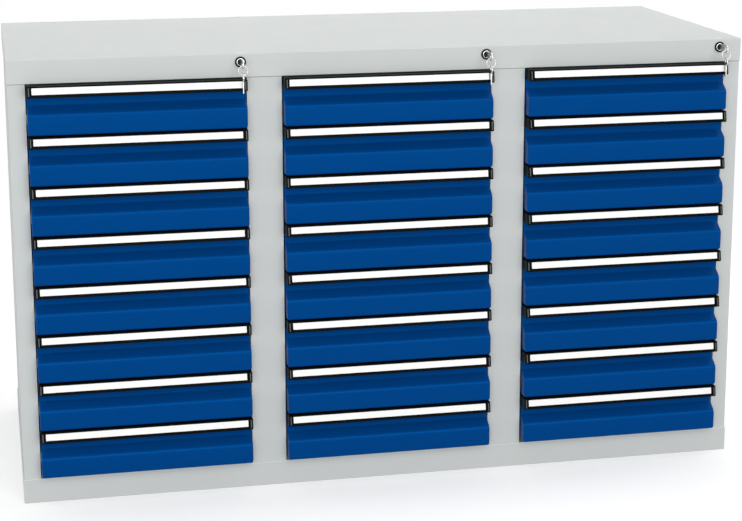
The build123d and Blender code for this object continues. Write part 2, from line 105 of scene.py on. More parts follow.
# Trays, slides and catches
TRAY_SIDE_ROOM = 14 * MM  # from the end of the front to the tray side
TRAY_SHEET = 1 * MM
TRAY_LIFT = 6 * MM
TRAY_TOP = 68 * MM
TRAY_BEND_R = 2 * MM
TRAY_CORNER_R = 3 * MM
HEM_H = 7 * MM
HEM_PROUD = 1.1 * MM
HEM_EDGE = 0.2 * MM       # chamfer along the foot of the hem
RAIL_Z = 14 * MM
RAIL_H = 12 * MM
RAIL_W = 11.3 * MM
RAIL_EDGE_R = 0.8 * MM
RAIL_BACK_R = 0.2 * MM
RAIL_END_R = 0.15 * MM
RAIL_GROOVE_D = 3 * MM
RAIL_GROOVE_H = 5 * MM
RAIL_GROOVE_R = 0.4 * MM
STOP_L = 15 * MM
STOP_H = 3.8 * MM
STOP_EDGE_R = 1 * MM
STOP_END_R = 0.6 * MM
LUG_Z = 45 * MM
LUG_H = 10 * MM
LUG_Y = -264.1 * MM
LUG_T = 3 * MM
LUG_FOOT = 17 * MM
LUG_FOOT_T = 1.5 * MM
LUG_REACH = 8.8 * MM
LUG_BEND_R = 0.8 * MM
LUG_EDGE_R = 0.4 * MM
LUG_END_R = 0.3 * MM

# Locks
BEZEL_D = 22 * MM
BEZEL_T = 3 * MM
BEZEL_FRONT_R = 1.1 * MM
BEZEL_BACK_R = 0.2 * MM
BEZEL_BORE_R = 0.5 * MM   # rounding of the rim's inner edge
COLLAR_D = 15.6 * MM
COLLAR_GAP = 0.05 * MM    # from the collar to the rim round it and the barrel behind it
COLLAR_OUTER_SINK = 0.4 * MM  # how far its outer edge lies behind the front of the rim
COLLAR_OUTER_R = 0.7 * MM
COLLAR_INNER_SINK = 0.2 * MM  # and its inner edge
COLLAR_INNER_R = 0.6 * MM
BARREL_D = 16 * MM
BARREL_L = 25 * MM
BARREL_EDGE_R = 0.4 * MM
PLUG_BORE_D = 12.1 * MM
PLUG_BORE_R = 0.2 * MM    # rounding of the bore's rear edge

# Eased edges of the pieces that keep their CAD shape
PANEL_EASE = 0.5 * MM
STEEL_EASE = 0.2 * MM
LOCK_EASE = 0.15 * MM
KEY_EASE = 0.3 * MM
EASE_ANGLE = math.radians(40)
EASE_STEPS = 2
WELD_REACH = 0.001 * MM

# Colours
WHITE = (1, 1, 1)
GREY = (0.578, 0.604, 0.597)
BLUE = (0.0004, 0.0500, 0.217)
BLUE_SHEEN = (0.02, 0.35, 1)
STRIP_BLACK = (0.0025, 0.0035, 0.0035)
# lighter grey of the caps' ribs: a painted highlight streak down each cap
RIB_HIGHLIGHT_GREY = (0.060, 0.066, 0.066)
BEZEL_BLACK = (0.004, 0.004, 0.0045)
CHROME = (0.70, 0.71, 0.72)
DARK_CHROME = (0.018, 0.018, 0.02)
NICKEL = (0.58, 0.575, 0.56)

# Level lines of painted light and shade in the paint
HOOD_SHADOW_W = 1.6 * MM         # painted shadow on the walls just under the hood's lower edge
HOOD_SHADOW_TONE = 0.5
PLINTH_HIGHLIGHT_W = 1.2 * MM       # painted highlight along the upper edge of the plinth
PLINTH_HIGHLIGHT_TONE = 1.3
BEND_HIGHLIGHT_W = 2.4 * MM    # painted highlight along the bend of a drawer front
BEND_HIGHLIGHT_TONE = 1.36
BEND_HIGHLIGHT_LOW = 1.2 * MM  # from the height where flat and slope would meet down to the line's middle
LINE_FADE = 0.4 * MM

# Fineness of the round shapes
ARC_STEP = math.radians(9)
END_STEPS = 5             # steps of a rounded end
SMALL_END_STEPS = 3
LABEL_STEPS = 4
SWELL_STEPS = 6
TRAY_BEND_STEPS = 5       # outside of the bend along the tray's lower edges
TRAY_INSIDE_STEPS = 4     # inside of that bend
HEM_ROLL_STEPS = 8
LATHE_STEPS = 48
LEAST_LEAN = 0.5          # keeps the lengthening at sharp corners to twice
SHARP_ANGLE = math.radians(32)

# Material slots of the pieces with more than one finish
RIB_SLOT = 1
STEEL_SLOT = 1
NYLON_SLOT = 2
BEZEL_SLOT = 0
CHROME_SLOT = 1

# Floor and light, with levels as shares of the light that a white surround gives to a surface facing it
FLOOR_SIZE = 60.0
FLOOR_DROP = 0.3 * MM
FLOOR_THROWN = (0.45, 0.45, 0.45)
FLOOR_SEEN = (0.9, 0.9, 0.9)
FLOOR_GLOW = 0.25
SHADOW_NEAR = 1.2         # the floor shows its shadows up to here from the middle of the cabinet
SHADOW_FAR = 2.6          # and is plain white from here on
AMBIENT = 0.35
LAMPS = (
    # name, place, point that it is aimed at, level there, width and height
    ("front_lamp", (-0.2, -5.0, 1.15), (0, -0.3, 0.45), 0.535, (6.5, 2.2)),
    ("key_lamp", (0.0, -4.85, 3.2), (0, -0.3, 0.45), 0.30, (5.0, 2.4)),
    ("top_lamp", (0.2, 0.1, 3.6), (0.2, 0, 0.9), 0.68, (4.5, 1.6)),
    ("left_lamp", (-4.2, -0.6, 0.9), (-0.75, 0, 0.45), 0.35, (2.5, 1.6)),
    ("right_lamp", (4.2, 0.2, 0.9), (0.75, 0, 0.45), 0.35, (2.5, 1.6)),
    ("back_lamp", (1.0, 4.5, 0.9), (0.5, 0.3, 0.45), 0.56, (4.6, 1.6)),
)

# The photograph's frame and the view fitted to it
IMAGE_W = 742
IMAGE_H = 521
FOCAL_PX = 1838
CENTRE_PX = (371, 190)    # image point straight ahead of the lens
CAMERA_PLACE = (-0.7813, -3.8565, 1.4005)
CAMERA_TILT = -0.21324
CAMERA_ROLL = 0.00195
CAMERA_TURN = -0.20713
SENSOR_W = 36.0           # in mm, like the lens

# Places taken from the frame
FRONT_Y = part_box("top_cover")[0].y
HOOD_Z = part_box("top_cover")[0].z
PLINTH_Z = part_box("base_plinth")[1].z


# Outlines

def angles(turn, steps):
    """Angles from 0 to the whole turn in equal steps."""
    return [turn * step / steps for step in range(steps + 1)]


def rounded(corners):
    """Closed outline through corners given as (across, up, radius), with the round ones as arcs."""
    points = []
    for index, (a, b, radius) in enumerate(corners):
        corner = Vector((a, b))
        if radius <= 0:
            points.append(corner)
            continue
        back = (Vector(corners[index - 1][:2]) - corner).normalized()
        ahead = (Vector(corners[(index + 1) % len(corners)][:2]) - corner).normalized()
        half = back.angle(ahead) / 2
        centre = corner + (back + ahead).normalized() * (radius / math.sin(half))
        start = corner + back * (radius / math.tan(half)) - centre
        end = corner + ahead * (radius / math.tan(half)) - centre
        turn = math.atan2(start.x * end.y - start.y * end.x, start.dot(end))
        for angle in angles(turn, max(2, math.ceil(abs(turn) / ARC_STEP))):
            spin = Vector((start.x * math.cos(angle) - start.y * math.sin(angle),
                           start.x * math.sin(angle) + start.y * math.cos(angle)))
            points.append(centre + spin)
    return points


def outward(loop):
    """Direction out of a closed outline at each of its points, lengthened at sharp corners."""
    area = sum(p.x * q.y - q.x * p.y for p, q in zip(loop, loop[1:] + loop[:1]))
    sign = 1 if area > 0 else -1
    result = []
    for index, point in enumerate(loop):
        before = (point - loop[index - 1]).normalized()
        after = (loop[(index + 1) % len(loop)] - point).normalized()
        normal = Vector((before.y + after.y, -before.x - after.x)) * sign
        normal.normalize()
        lean = max(LEAST_LEAN, normal.dot(Vector((before.y, -before.x)) * sign))
        result.append(normal / lean)
    return result


def quarter(radius, steps):
    """Pairs of distance from an end and inset there, along a quarter-round edge."""
    pairs = []
    for angle in angles(math.pi / 2, steps):
        pairs.append((radius * (1 - math.cos(angle)), radius * (1 - math.sin(angle))))
    return pairs


def end_stations(ends, start_edge, end_edge):
    """Places along a run, from edges given as pairs of distance from the end and a value kept there."""
    stations = [(ends[0] + along, inset) for along, inset in start_edge]
    stations += [(ends[1] - along, inset) for along, inset in reversed(end_edge)]
    return stations


# Meshes

class Shape:
    """Vertices and faces of one piece, collected from several closed solids."""

    def __init__(self):
        self.points = []
        self.faces = []
        self.slots = []

    def skin(self, loops, slot=0):
        """Closed solid through outlines of equal length, with a flat face at each end."""
        count = len(loops[0])
        base = len(self.points)
        for loop in loops:
            self.points.extend(loop)
        for ring in range(len(loops) - 1):
            for index in range(count):
                near = base + ring * count
                step = (index + 1) % count
                self.faces.append((near + index, near + step, near + count + step, near + count + index))
        last = base + (len(loops) - 1) * count
        self.faces.append(tuple(reversed(range(base, base + count))))
        self.faces.append(tuple(range(last, last + count)))
        self.slots.extend([slot] * ((len(loops) - 1) * count + 2))

    def run(self, loop, place, stations, slot=0):
        """Closed solid that takes an outline through its stations, where it is drawn in by their insets."""
        out = outward(loop)
        loops = []
        for at, inset in stations:
            loops.append([place(point - normal * inset, at) for point, normal in zip(loop, out)])
        self.skin(loops, slot)

    def lathe(self, outline, slot):
        """Ring turned about the Y axis from a closed outline of (radius, distance along Y)."""
        base = len(self.points)
        count = len(outline)
        for turn in range(LATHE_STEPS):
            angle = 2 * math.pi * turn / LATHE_STEPS
            for point in outline:
                self.points.append(Vector((point.x * math.cos(angle), point.y, point.x * math.sin(angle))))
        for turn in range(LATHE_STEPS):
            near = base + turn * count
            far = base + (turn + 1) % LATHE_STEPS * count
            for index in range(count):
                step = (index + 1) % count
                self.faces.append((near + index, near + step, far + step, far + index))
                self.slots.append(slot)

    def mesh(self, name, materials):
        """Mesh of the collected solids, shaded smooth except at its sharp edges."""
        data = bpy.data.meshes.new(name)
        data.from_pydata([tuple(point) for point in self.points], [], self.faces)
        for material in materials:
            data.materials.append(material)
        data.polygons.foreach_set("material_index", self.slots)
        data.update()
        turn_outward(data)
        data.shade_smooth()
        data.set_sharp_from_angle(angle=SHARP_ANGLE)
        return data


def turn_outward(data):
    """All faces of a mesh turned to face out."""
    work = bmesh.new()
    work.from_mesh(data)
    bmesh.ops.recalc_face_normals(work, faces=work.faces)
    work.to_mesh(data)
    work.free()


# Materials

class Nodes:
    """Short way to fill one node tree."""

    def __init__(self, tree):
        self.tree = tree

    def add(self, kind, inputs=None, **settings):
        """New node with its settings, and with its inputs set to values or linked to other nodes."""
        node = self.tree.nodes.new(kind)
        for name, value in settings.items():
            setattr(node, name, value)
        for name, value in (inputs or {}).items():
            self.feed(node.inputs[name], value)
        return node

    def feed(self, socket, value):
        if isinstance(value, bpy.types.NodeSocket):
            self.tree.links.new(value, socket)
        else:
            socket.default_value = value


class Paint(Nodes):
    """Material of one finish, with the textures that feed its shader."""

    SPREAD = (3.7, 5.1, 2.3)  # largest move of the textures from one piece to another
    NOISE_RANGE = (0.3, 0.7)  # where most values of a noise lie

    def __init__(self, name):
        self.material = bpy.data.materials.new(name)
        self.material.use_nodes = True
        super().__init__(self.material.node_tree)
        self.shader = self.tree.nodes["Principled BSDF"]
        self.coords = self.shuffled()

    def set(self, name, value):
        self.feed(self.shader.inputs[name], value)

    def own_place(self):
        """Coordinates in the piece's own frame."""
        return self.add("ShaderNodeTexCoord").outputs["Object"]

    def shuffled(self):
        """Those coordinates moved by a different amount for each piece."""
        piece = self.add("ShaderNodeObjectInfo")
        amount = {0: self.SPREAD, "Scale": piece.outputs["Random"]}
        spread = self.add("ShaderNodeVectorMath", amount, operation="SCALE")
        moved = self.add("ShaderNodeVectorMath", {0: self.own_place(), 1: spread.outputs[0]}, operation="ADD")
        return moved.outputs[0]

    def stretched(self, scale):
        return self.add("ShaderNodeMapping", {"Vector": self.coords, "Scale": scale}).outputs["Vector"]

    def noise(self, scale, detail, coords=None):
        inputs = {"Scale": scale, "Detail": detail, "Vector": coords or self.coords}
        return self.add("ShaderNodeTexNoise", inputs).outputs["Fac"]

    def span(self, value, low, high, source=NOISE_RANGE):
        """Value brought from a source range to the range between low and high."""
        inputs = {"Value": value, "From Min": source[0], "From Max": source[1], "To Min": low, "To Max": high}
        return self.add("ShaderNodeMapRange", inputs).outputs["Result"]

    def colour(self, value, first, second):
        """Base colour that runs from the first to the second with a noise."""
        ramp = self.add("ShaderNodeValToRGB", {"Fac": value})
        for stop, position, tone in zip(ramp.color_ramp.elements, self.NOISE_RANGE, (first, second)):
            stop.position = position
            stop.color = (*tone, 1)
        self.set("Base Color", ramp.outputs["Color"])

    def rough(self, value, low, high):
        self.set("Roughness", self.span(value, low, high))

    def bump(self, height, strength, distance):
        inputs = {"Height": height, "Strength": strength, "Distance": distance}
        self.set("Normal", self.add("ShaderNodeBump", inputs).outputs["Normal"])

    def level_line(self, height, width, tone):
        """Thin level line of another colour, with its middle at a height in the piece's own frame; here it
        paints two highlight lines and one shadow line.
        """
        parts = self.add("ShaderNodeSeparateXYZ", {"Vector": self.own_place()})
        away = self.add("ShaderNodeMath", {0: parts.outputs["Z"], 1: height}, operation="SUBTRACT")
        distance = self.add("ShaderNodeMath", {0: away.outputs[0]}, operation="ABSOLUTE")
        edge = ((width - LINE_FADE) / 2, (width + LINE_FADE) / 2)
        on_line = self.span(distance.outputs[0], 1, 0, edge)
        base = self.shader.inputs["Base Color"].links[0].from_socket
        mix = self.add("ShaderNodeMixRGB", {"Fac": on_line, "Color1": base, "Color2": (*tone, 1)})
        self.set("Base Color", mix.outputs["Color"])


def shade(colour, factor):
    return tuple(channel * factor for channel in colour)


def powder_coat(name, colour, gloss, specular, sheen, line=None):
    """Satin powder coat: even colour with a faint cloud, and the fine ripple of the baked powder.

    A level line of painted light and shade is given as the height of its middle, its width and its tone
    beside the colour.
    """
    paint = Paint(name)
    paint.colour(paint.noise(scale=7, detail=3), shade(colour, 0.99), shade(colour, 1.01))
    if line:
        height, width, tone = line
        paint.level_line(height, width, shade(colour, tone))
    paint.rough(paint.noise(scale=60, detail=4), gloss - 0.06, gloss + 0.06)
    paint.bump(paint.noise(scale=650, detail=2), strength=0.10, distance=0.3 * MM)
    paint.set("Specular IOR Level", specular)
    paint.set("Specular Tint", (*sheen, 1))
    return paint.material


def grey_coat(name, line=None):
    return powder_coat(name, GREY, gloss=0.55, specular=0.12, sheen=WHITE, line=line)


def black_plastic(name, colour, specular):
    """Drawn black profile with faint lines along its length."""
    paint = Paint(name)
    lines = paint.noise(scale=900, detail=2, coords=paint.stretched((0.004, 1, 1)))
    paint.colour(lines, shade(colour, 0.7), shade(colour, 1.3))
    paint.rough(paint.noise(scale=140, detail=3), 0.30, 0.42)
    paint.bump(lines, strength=0.12, distance=0.2 * MM)
    paint.set("Specular IOR Level", specular)
    return paint.material


def paper(name):
    """White card with a faint fibre."""
    paint = Paint(name)
    fibre = paint.noise(scale=1100, detail=5, coords=paint.stretched((0.4, 1, 1)))
    paint.colour(fibre, (0.90, 0.90, 0.89), (0.96, 0.96, 0.955))
    paint.rough(paint.noise(scale=300, detail=3), 0.55, 0.7)
    paint.bump(fibre, strength=0.05, distance=0.1 * MM)
    paint.set("Specular IOR Level", 0.2)
    return paint.material


def zinc(name):
    """Zinc-plated sheet with soft spangle and drawn lines."""
    paint = Paint(name)
    paint.colour(paint.noise(scale=55, detail=4), (0.50, 0.52, 0.54), (0.66, 0.68, 0.70))
    lines = paint.noise(scale=700, detail=3, coords=paint.stretched((1, 0.02, 1)))
    paint.rough(lines, 0.28, 0.46)
    paint.bump(lines, strength=0.06, distance=0.1 * MM)
    paint.set("Metallic", 1.0)
    return paint.material


def plated(name, colour, low, high):
    """Plated metal with fine rub marks, between two values of roughness."""
    paint = Paint(name)
    marks = paint.noise(scale=1500, detail=3, coords=paint.stretched((1, 1, 0.1)))
    paint.colour(paint.noise(scale=120, detail=2), shade(colour, 0.96), shade(colour, 1.04))
    paint.rough(marks, low, high)
    paint.bump(marks, strength=0.04, distance=0.05 * MM)
    paint.set("Metallic", 1.0)
    return paint.material


def nylon(name):
    """Moulded black nylon with a fine grain."""
    paint = Paint(name)
    paint.colour(paint.noise(scale=200, detail=3), (0.012, 0.012, 0.013), (0.022, 0.022, 0.023))
    paint.rough(paint.noise(scale=400, detail=2), 0.45, 0.6)
    paint.bump(paint.noise(scale=1200, detail=2), strength=0.08, distance=0.1 * MM)
    return paint.material


# painted shadow line on the walls under the hood's lower edge
hood_shadow_line = (HOOD_Z - HOOD_SHADOW_W / 2, HOOD_SHADOW_W, HOOD_SHADOW_TONE)
# painted highlight line along the plinth's upper edge
plinth_highlight_line = (PLINTH_Z - PLINTH_HIGHLIGHT_W / 2, PLINTH_HIGHLIGHT_W, PLINTH_HIGHLIGHT_TONE)
# painted highlight line along the convex bend of each drawer front
bend_highlight_line = (FLAT_H - BEND_HIGHLIGHT_LOW, BEND_HIGHLIGHT_W, BEND_HIGHLIGHT_TONE)
grey_paint = grey_coat("grey_powder_coat")
wall_paint = grey_coat("wall_powder_coat", hood_shadow_line)
plinth_paint = grey_coat("plinth_powder_coat", plinth_highlight_line)
blue_paint = powder_coat("blue_powder_coat", BLUE, gloss=0.34, specular=0.16, sheen=BLUE_SHEEN,
                         line=bend_highlight_line)
strip_black = black_plastic("handle_black", STRIP_BLACK, specular=0.025)
# the rib's lighter grey is a painted highlight streak on the black cap
rib_highlight_grey = black_plastic("cap_rib_painted_highlight", RIB_HIGHLIGHT_GREY, specular=0.3)
bezel_black = black_plastic("lock_bezel_black", BEZEL_BLACK, specular=0.16)
label_white = paper("label_card")
zinc_steel = zinc("zinc_plated_steel")
lock_chrome = plated("lock_chrome", CHROME, 0.06, 0.16)
lock_dark = plated("lock_dark_chrome", DARK_CHROME, 0.2, 0.34)
key_nickel = plated("key_nickel", NICKEL, 0.18, 0.32)
black_nylon = nylon("black_nylon")


# Drawer pieces, in a frame whose X 0 is the middle of the drawer and Z 0 the lower edge of its front

def across(point, x):
    """Place of a point of a side outline, given as (distance out of the carcase front, height)."""
    return Vector((x, FRONT_Y - point.x, point.y))


def front_shape(half):
    """Folded front: flat, slope, neck and upright, with folded cheeks and rounded lower corners."""
    loop = rounded([
        (-SHEET, 0, 0),
        (FRONT_PROUD, 0, LOWER_EDGE_R),
        (FRONT_PROUD, FLAT_H, OUT_BEND_R),
        (0, FLAT_H + SLANT_H, IN_BEND_R),
        (0, FRONT_H, 0),
        (-SHEET, FRONT_H, 0),
    ])
    out = outward(loop)
    edge = [(along, (along, inset)) for along, inset in quarter(CHEEK_R, END_STEPS)]
    edge += [(CORNER_R * share, (CORNER_R * share, 0)) for share in CORNER_SHARES]
    loops = []
    for x, (along, inset) in end_stations((-half, half), edge, edge):
        short = max(0.0, CORNER_R - along)
        lift = CORNER_R - math.sqrt(CORNER_R ** 2 - short ** 2)
        ring = []
        for point, way in zip(loop, out):
            half_depth = max(0.0, (point.x + SHEET) / 2)
            moved = point - way * min(inset, half_depth)
            share = (CORNER_FADE - point.y) / (CORNER_FADE - LOWER_EDGE_R)
            moved.y += lift * min(1.0, max(0.0, share))
            ring.append(across(moved, x))
        loops.append(ring)
    shape = Shape()
    shape.skin(loops)
    return shape


def on_strip(along, inward):
    """Point of the leaning strip face, measured down from its upper edge and inward from the face."""
    out = STRIP_TOP_PROUD + along * math.sin(STRIP_LEAN) - inward * math.cos(STRIP_LEAN)
    return (out, FRONT_H - along * math.cos(STRIP_LEAN) - inward * math.sin(STRIP_LEAN))


def roof_corners():
    """Corners of the shallow grooves across the roof of the strip, from the back to the front."""
    corners = [(SEAT, FRONT_H, 0)]
    pitch = (STRIP_TOP_PROUD - 2 * STRIP_EDGE_R) / (ROOF_GROOVES + 1)
    for groove in range(1, ROOF_GROOVES + 1):
        middle = SEAT + groove * pitch
        corners.append((middle - ROOF_GROOVE_W / 2, FRONT_H, 0))
        corners.append((middle - ROOF_GROOVE_W / 4, FRONT_H - ROOF_GROOVE_D, 0))
        corners.append((middle + ROOF_GROOVE_W / 4, FRONT_H - ROOF_GROOVE_D, 0))
        corners.append((middle + ROOF_GROOVE_W / 2, FRONT_H, 0))
    return corners


def strip_outline():
    """Side outline of the strip: grooved roof, web with the label recess, finger grip and back wall."""
    upper_lip = LIP_H - SEAT
    lower_lip = LIP_H + LABEL_H + SEAT
    under_roof = (STRIP_WALL - STRIP_WEB * math.sin(STRIP_LEAN)) / math.cos(STRIP_LEAN)
    return rounded(roof_corners() + [
        (*on_strip(0, 0), STRIP_EDGE_R),
        (*on_strip(upper_lip, 0), LIP_R),
        (*on_strip(upper_lip, RECESS_D), 0),
        (*on_strip(lower_lip, RECESS_D), 0),
        (*on_strip(lower_lip, 0), LIP_R),
        (*on_strip(STRIP_LENGTH, 0), STRIP_FOOT_R),
        (*on_strip(STRIP_LENGTH, STRIP_WEB), STRIP_FOOT_R),
        (*on_strip(under_roof, STRIP_WEB), STRIP_INSIDE_R),
        (SEAT + STRIP_WALL, FRONT_H - STRIP_WALL, STRIP_INSIDE_R),
        (SEAT + STRIP_WALL, FRONT_H - STRIP_BACK_H, STRIP_BACK_R),
        (SEAT, FRONT_H - STRIP_BACK_H, 0),
    ])


def cap_outline():
    return rounded([
        (SEAT, FRONT_H, 0),
        (on_strip(0, -CAP_PROUD)[0], FRONT_H, CAP_EDGE_R),
        (on_strip(STRIP_LENGTH, -CAP_PROUD)[0], FRONT_H - STRIP_H, CAP_EDGE_R),
        (SEAT, FRONT_H - STRIP_H, 0),
    ])


def rib_outline():
    """Side outline of the raised rib on a cap, sunk into the cap's crown."""
    front = -CAP_PROUD - CAP_CROWN - RIB_PROUD
    back = -CAP_PROUD - CAP_CROWN + RIB_PROUD
    foot = STRIP_LENGTH - RIB_SHORT
    return rounded([
        (*on_strip(RIB_SHORT, front), RIB_PROUD),
        (*on_strip(foot, front), RIB_PROUD),
        (*on_strip(foot, back), 0),
        (*on_strip(RIB_SHORT, back), 0),
    ])


def bar(shape, loop, ends, radii, slot=0):
    """Side outline run along X, with a rounded edge at each end."""
    edges = [quarter(radius, END_STEPS) for radius in radii]
    shape.run(loop, across, end_stations(ends, *edges), slot)


def crowned_bar(shape, loop, ends, radii):
    """Side outline run along X with rounded ends, swelling to a crown half-way between them."""
    edges = [quarter(radius, END_STEPS) for radius in radii]
    low, high = ends[0] + radii[0], ends[1] - radii[1]
    between = [(low + (high - low) * step / SWELL_STEPS, 0) for step in range(1, SWELL_STEPS)]
    middle = (ends[0] + ends[1]) / 2
    half = (ends[1] - ends[0]) / 2
    stations = []
    for x, inset in sorted(end_stations(ends, *edges) + between):
        stations.append((x, inset - CAP_CROWN * (1 - ((x - middle) / half) ** 2)))
    shape.run(loop, across, stations)


def handle_shape(half):
    """Black strip with label lips and finger grip, and a moulded cap with a rib at each end."""
    shape = Shape()
    inner = half - CAP_W
    bar(shape, strip_outline(), (SEAT - inner, inner - SEAT), (STRIP_END_R, STRIP_END_R))
    crowned_bar(shape, cap_outline(), (-half, -inner), (CAP_OUTER_R, CAP_INNER_R))
    crowned_bar(shape, cap_outline(), (inner, half), (CAP_INNER_R, CAP_OUTER_R))
    for side in (-1, 1):
        middle = side * (half - CAP_W / 2)
        ends = (middle - RIB_W / 2, middle + RIB_W / 2)
        # raised rib in lighter grey, which paints a highlight streak down the cap
        bar(shape, rib_outline(), ends, (RIB_END_R, RIB_END_R), RIB_SLOT)
    return shape


def label_shape(half):
    """Card strip lying in the recess, with clipped corners."""
    back = RECESS_D - SEAT
    front = back - LABEL_T
    foot = LIP_H + LABEL_H
    corners = [(LIP_H, front), (foot, front), (foot, back), (LIP_H, back)]
    length = half - CAP_W - LABEL_SPARE
    edge = quarter(LABEL_CORNER_R, LABEL_STEPS)
    loops = []
    for x, inset in end_stations((-length, length), edge, edge):
        ring = []
        for down, inward in corners:
            pull = -inset if down == foot else inset
            ring.append(across(Vector(on_strip(down + pull, inward)), x))
        loops.append(ring)
    shape = Shape()
    shape.skin(loops)
    return shape


def tray_section():
    """Section of a tray wall as (distance out, height): up the outside, over the hem and down inside."""
    section = []
    for angle in angles(math.pi / 2, TRAY_BEND_STEPS):
        rise = TRAY_BEND_R * (1 - math.cos(angle))
        section.append((-TRAY_BEND_R + TRAY_BEND_R * math.sin(angle), TRAY_LIFT + rise))
    hem_foot = TRAY_TOP - HEM_H
    section += [(0, hem_foot), (HEM_PROUD - HEM_EDGE, hem_foot), (HEM_PROUD, hem_foot + HEM_EDGE)]
    roll_r = (HEM_PROUD + TRAY_SHEET) / 2
    middle = HEM_PROUD - roll_r
    for angle in angles(math.pi, HEM_ROLL_STEPS):
        section.append((middle + roll_r * math.cos(angle), TRAY_TOP - roll_r + roll_r * math.sin(angle)))
    inside_r = TRAY_BEND_R - TRAY_SHEET
    for angle in angles(math.pi / 2, TRAY_INSIDE_STEPS):
        rise = inside_r * (1 - math.sin(angle))
        section.append((-TRAY_SHEET - inside_r * (1 - math.cos(angle)), TRAY_LIFT + TRAY_SHEET + rise))
    return section


def tray_ring(half, y, out, z):
    """Rounded rectangle round the tray at one height, moved out from its sides."""
    radius = TRAY_CORNER_R + out
    left, right = -half - out, half + out
    front, back = y[0] - out, y[1] + out
    corners = [(left, front, radius), (right, front, radius), (right, back, radius), (left, back, radius)]
    return [Vector((point.x, point.y, z)) for point in rounded(corners)]


def tray_shape(half, y):
    """Folded tray with bent lower edges and a hem turned out round its rim, with its slides and catch."""
    shape = Shape()
    shape.skin([tray_ring(half, y, out, z) for out, z in tray_section()])
    for side in (-1, 1):
        add_slide(shape, side, half + SEAT, y)
    add_catch(shape, half + SEAT)
    return shape


def small_ends(ends, radius):
    """Stations of a short or narrow run with both ends eased."""
    edge = quarter(radius, SMALL_END_STEPS)
    return end_stations(ends, edge, edge)


def add_slide(shape, side, inner, y):
    """Grooved slide bar on a tray side, with the stop block on its rear end."""
    def place(point, at):
        return Vector((side * point.x, at, point.y))

    outer = inner + RAIL_W
    deep = outer - RAIL_GROOVE_D
    groove_low = RAIL_Z + (RAIL_H - RAIL_GROOVE_H) / 2
    groove_high = groove_low + RAIL_GROOVE_H
    rail = rounded([
        (inner, RAIL_Z, RAIL_BACK_R),
        (outer, RAIL_Z, RAIL_EDGE_R),
        (outer, groove_low, RAIL_GROOVE_R),
        (deep, groove_low, RAIL_GROOVE_R),
        (deep, groove_high, RAIL_GROOVE_R),
        (outer, groove_high, RAIL_GROOVE_R),
        (outer, RAIL_Z + RAIL_H, RAIL_EDGE_R),
        (inner, RAIL_Z + RAIL_H, RAIL_BACK_R),
    ])
    shape.run(rail, place, small_ends(y, RAIL_END_R), STEEL_SLOT)
    top = RAIL_Z + RAIL_H + SEAT
    stop = rounded([
        (inner, top, 0),
        (outer, top, 0),
        (outer, top + STOP_H, STOP_EDGE_R),
        (inner, top + STOP_H, STOP_EDGE_R),
    ])
    shape.run(stop, place, small_ends((y[1] - STOP_L, y[1]), STOP_END_R), NYLON_SLOT)


def add_catch(shape, inner):
    """Bent angle on the right tray side for the locking bar's hook."""
    def place(point, at):
        return Vector((point.x, point.y, at))

    lug = rounded([
        (inner, LUG_Y, LUG_EDGE_R),
        (inner + LUG_REACH, LUG_Y, LUG_EDGE_R),
        (inner + LUG_REACH, LUG_Y + LUG_T, LUG_EDGE_R),
        (inner + LUG_FOOT_T, LUG_Y + LUG_T, LUG_BEND_R),
        (inner + LUG_FOOT_T, LUG_Y + LUG_FOOT, LUG_EDGE_R),
        (inner, LUG_Y + LUG_FOOT, LUG_EDGE_R),
    ])
    shape.run(lug, place, small_ends((LUG_Z, LUG_Z + LUG_H), LUG_END_R), STEEL_SLOT)


def add_piece(name, mesh, place, body):
    piece = bpy.data.objects.new(name, mesh)
    piece.location = place
    bpy.context.scene.collection.objects.link(piece)
    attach(piece, body)
    return piece


def add_drawers():
    """A front, a handle, a label and a tray on each drawer, from one mesh each."""
    random.seed(LABEL_SEED)
    low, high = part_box("drawer_a1")
    half = (high.x - low.x) / 2
    tray_half = half - TRAY_SIDE_ROOM
    tray_y = (FRONT_Y + SHEET + SEAT, high.y)
    front = front_shape(half).mesh("drawer_front", [blue_paint])
    handle = handle_shape(half).mesh("drawer_handle", [strip_black, rib_highlight_grey])
    label = label_shape(half).mesh("drawer_label", [label_white])
    tray = tray_shape(tray_half, tray_y).mesh("drawer_tray", [grey_paint, zinc_steel, black_nylon])
    for column in COLUMNS:
        for row in ROWS:
            node = "drawer_" + column + str(row)
            low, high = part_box(node)
            place = Vector(((low.x + high.x) / 2, 0, low.z))
            slip = Vector((random.uniform(-LABEL_SLIP, LABEL_SLIP), 0, 0))
            pieces = [
                add_piece(node + "_front", front, place, node),
                add_piece(node + "_handle", handle, place, node),
                add_piece(node + "_label", label, place + slip, node),
                add_piece(node + "_tray", tray, place, node),
            ]
            for piece in pieces:
                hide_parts(node)


# Locks

def bezel_shape():
    """Black lock rim with a bright dished collar inside it, and the barrel behind."""
    shape = Shape()
    bore = PLUG_BORE_D / 2
    collar_r = COLLAR_D / 2 - COLLAR_GAP
    rim = [
        (COLLAR_D / 2, 0, 0),
        (BEZEL_D / 2, 0, BEZEL_BACK_R),
        (BEZEL_D / 2, -BEZEL_T, BEZEL_FRONT_R),
        (COLLAR_D / 2, -BEZEL_T, BEZEL_BORE_R),
    ]
    collar = [
        (bore, 0, 0),
        (collar_r, 0, 0),
        (collar_r, COLLAR_OUTER_SINK - BEZEL_T, COLLAR_OUTER_R),
        (bore, COLLAR_INNER_SINK - BEZEL_T, COLLAR_INNER_R),
    ]
    barrel = [
        (bore, COLLAR_GAP, 0),
        (BARREL_D / 2, COLLAR_GAP, 0),
        (BARREL_D / 2, BARREL_L, BARREL_EDGE_R),
        (bore, BARREL_L, PLUG_BORE_R),
    ]
    shape.lathe(rounded(rim), BEZEL_SLOT)
    shape.lathe(rounded(collar), CHROME_SLOT)
    shape.lathe(rounded(barrel), CHROME_SLOT)
    return shape


